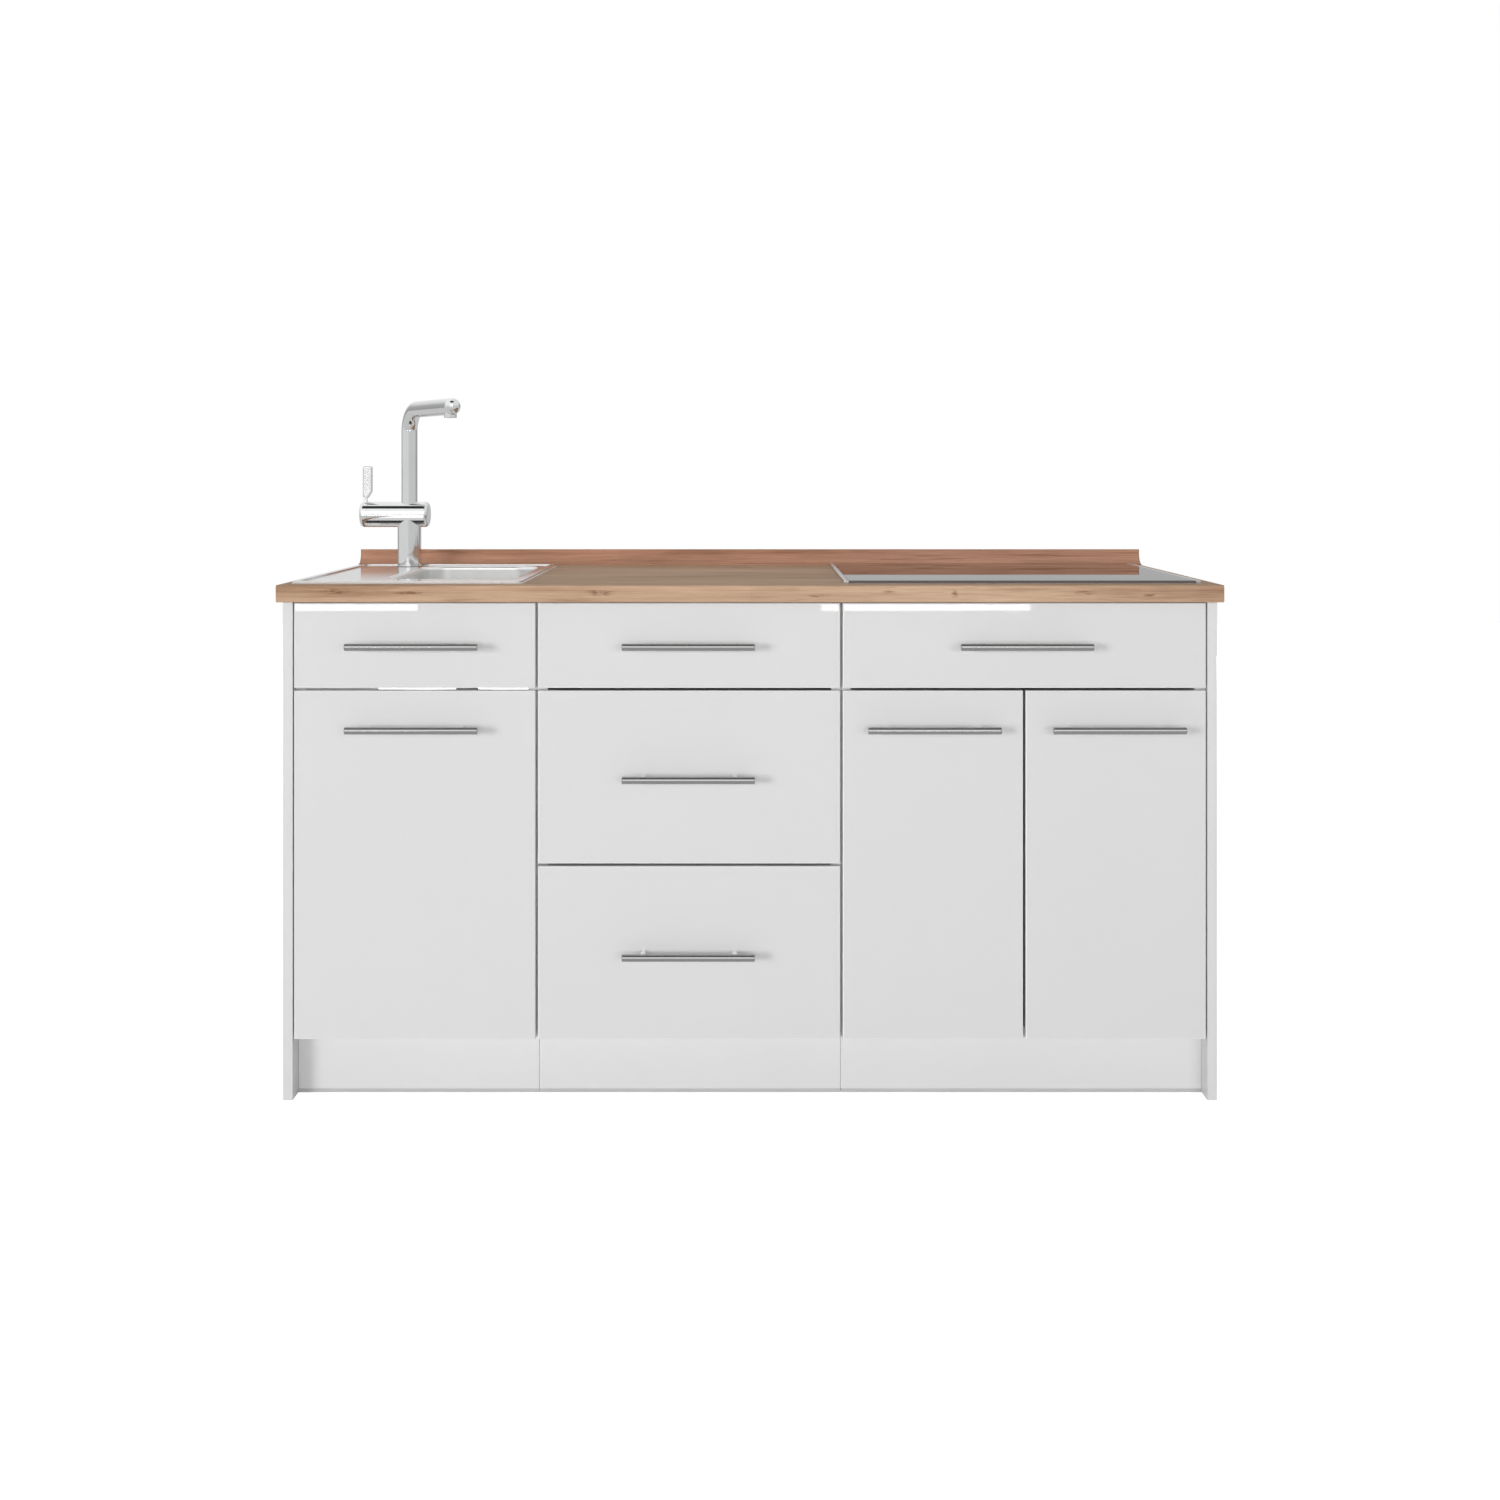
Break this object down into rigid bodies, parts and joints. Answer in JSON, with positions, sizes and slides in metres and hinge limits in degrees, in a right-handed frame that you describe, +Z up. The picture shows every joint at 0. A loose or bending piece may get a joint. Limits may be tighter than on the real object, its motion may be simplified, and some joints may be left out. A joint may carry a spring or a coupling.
{
  "type": "kitchen block",
  "caption": "Straight kitchen block: steel sink with lever tap, glass hob, drawers and hinged doors with bar handles on plinth feet under a wood-look worktop.",
  "frame": {"origin": "middle of the footprint, on the floor", "axes": "+X right along the wall seen from the front, +Y back to the wall, +Z up"},
  "size_m": [1.544, 0.615, 1.1643],
  "materials": {
    "white_gloss": "white high-gloss foil on board",
    "white_board": "white melamine, matt",
    "cover_white": "white melamine, satin",
    "oak_laminate": "oak decor laminate, fine matt",
    "sink_steel": "polished stainless steel sheet",
    "handle_steel": "brushed stainless look",
    "zinc_steel": "zinc plated sheet",
    "white_steel": "white powder coat",
    "tap_chrome": "bright chrome",
    "black_glass": "black glass ceramic, polished",
    "heater_ceramic": "insulation with heating coil",
    "black_plastic": "black moulded plastic",
    "white_plastic": "white moulded plastic",
    "clear_rubber": "soft bumper"
  },
  "bodies": {
    "cabinet": {"left_cover_panel": "cover_white", "right_cover_panel": "cover_white", "sink_unit_sides": "white_board", "drawer_unit_sides": "white_board", "hob_unit_sides": "white_board", "unit_bottoms": "white_board", "unit_rails": "white_board", "unit_backs": "white_board", "hob_unit_shelf": "white_board", "shelf_pins": "zinc_steel", "feet": "black_plastic", "plinth_boards": "white_board", "plinth_clips": "black_plastic", "worktop": "oak_laminate", "wall_upstand": "oak_laminate", "upstand_end_caps": "oak_laminate", "sink_basin": "sink_steel", "sink_waste": "white_plastic", "hob_glass": "black_glass", "hob_frame": "handle_steel", "hob_tray": "zinc_steel", "hob_heaters": "heater_ceramic", "tap_body": "tap_chrome", "tap_fixing_nut": "zinc_steel", "false_front": "white_gloss", "false_front_handle": "handle_steel", "false_front_brackets": "zinc_steel", "drawer_rails": "white_steel", "hinge_arms": "zinc_steel", "front_bumpers": "clear_rubber"},
    "top_drawer": {"top_drawer_front": "white_gloss", "top_drawer_handle": "handle_steel", "top_drawer_sides": "white_steel", "top_drawer_boards": "white_board"},
    "middle_drawer": {"middle_drawer_front": "white_gloss", "middle_drawer_handle": "handle_steel", "middle_drawer_sides": "white_steel", "middle_drawer_boards": "white_board"},
    "bottom_drawer": {"bottom_drawer_front": "white_gloss", "bottom_drawer_handle": "handle_steel", "bottom_drawer_sides": "white_steel", "bottom_drawer_boards": "white_board"},
    "hob_drawer": {"hob_drawer_front": "white_gloss", "hob_drawer_handle": "handle_steel", "hob_drawer_sides": "white_steel", "hob_drawer_boards": "white_board"},
    "sink_door": {"sink_door": "white_gloss", "sink_door_handle": "handle_steel", "sink_door_hinge_cups": "zinc_steel"},
    "hob_left_door": {"hob_left_door": "white_gloss", "hob_left_door_handle": "handle_steel", "hob_left_door_hinge_cups": "zinc_steel"},
    "hob_right_door": {"hob_right_door": "white_gloss", "hob_right_door_handle": "handle_steel", "hob_right_door_hinge_cups": "zinc_steel"},
    "spout": {"tap_spout": "tap_chrome", "tap_aerator": "tap_chrome"},
    "mixer_cap": {"tap_mixer_cap": "tap_chrome"},
    "mixer_lever": {"tap_lever": "tap_chrome"},
    "basket_strainer": {"sink_strainer": "sink_steel"}
  },
  "joints": [
    {"name": "top_drawer_slide", "type": "slide", "parent": "cabinet", "child": "top_drawer", "axis": [0, -1, 0], "range_m": [0, 0.36]},
    {"name": "middle_drawer_slide", "type": "slide", "parent": "cabinet", "child": "middle_drawer", "axis": [0, -1, 0], "range_m": [0, 0.36]},
    {"name": "bottom_drawer_slide", "type": "slide", "parent": "cabinet", "child": "bottom_drawer", "axis": [0, -1, 0], "range_m": [0, 0.36]},
    {"name": "hob_drawer_slide", "type": "slide", "parent": "cabinet", "child": "hob_drawer", "axis": [0, -1, 0], "range_m": [0, 0.36]},
    {"name": "sink_door_hinge", "type": "hinge", "parent": "cabinet", "child": "sink_door", "pos_m": [-0.744, -0.2685, 0.386], "axis": [0, 0, 1], "range_deg": [-105, 0]},
    {"name": "hob_left_door_hinge", "type": "hinge", "parent": "cabinet", "child": "hob_left_door", "pos_m": [0.156, -0.2685, 0.386], "axis": [0, 0, 1], "range_deg": [-105, 0]},
    {"name": "hob_right_door_hinge", "type": "hinge", "parent": "cabinet", "child": "hob_right_door", "pos_m": [0.744, -0.2685, 0.386], "axis": [0, 0, -1], "range_deg": [-105, 0]},
    {"name": "spout_swivel", "type": "hinge", "parent": "cabinet", "child": "spout", "pos_m": [-0.657, 0.2075, 0.9725], "axis": [0, 0, 1], "range_deg": [-92, 28]},
    {"name": "mixer_turn", "type": "hinge", "parent": "cabinet", "child": "mixer_cap", "pos_m": [-0.7343, 0.2075, 0.948], "axis": [1, 0, 0], "range_deg": [-45, 45]},
    {"name": "lever_tilt", "type": "hinge", "parent": "mixer_cap", "child": "mixer_lever", "pos_m": [-0.74195, 0.2075, 0.96], "axis": [0, -1, 0], "range_deg": [0, 25]},
    {"name": "strainer_lift", "type": "slide", "parent": "cabinet", "child": "basket_strainer", "axis": [0, 0, 1], "range_m": [0, 0.18]}
  ]
}
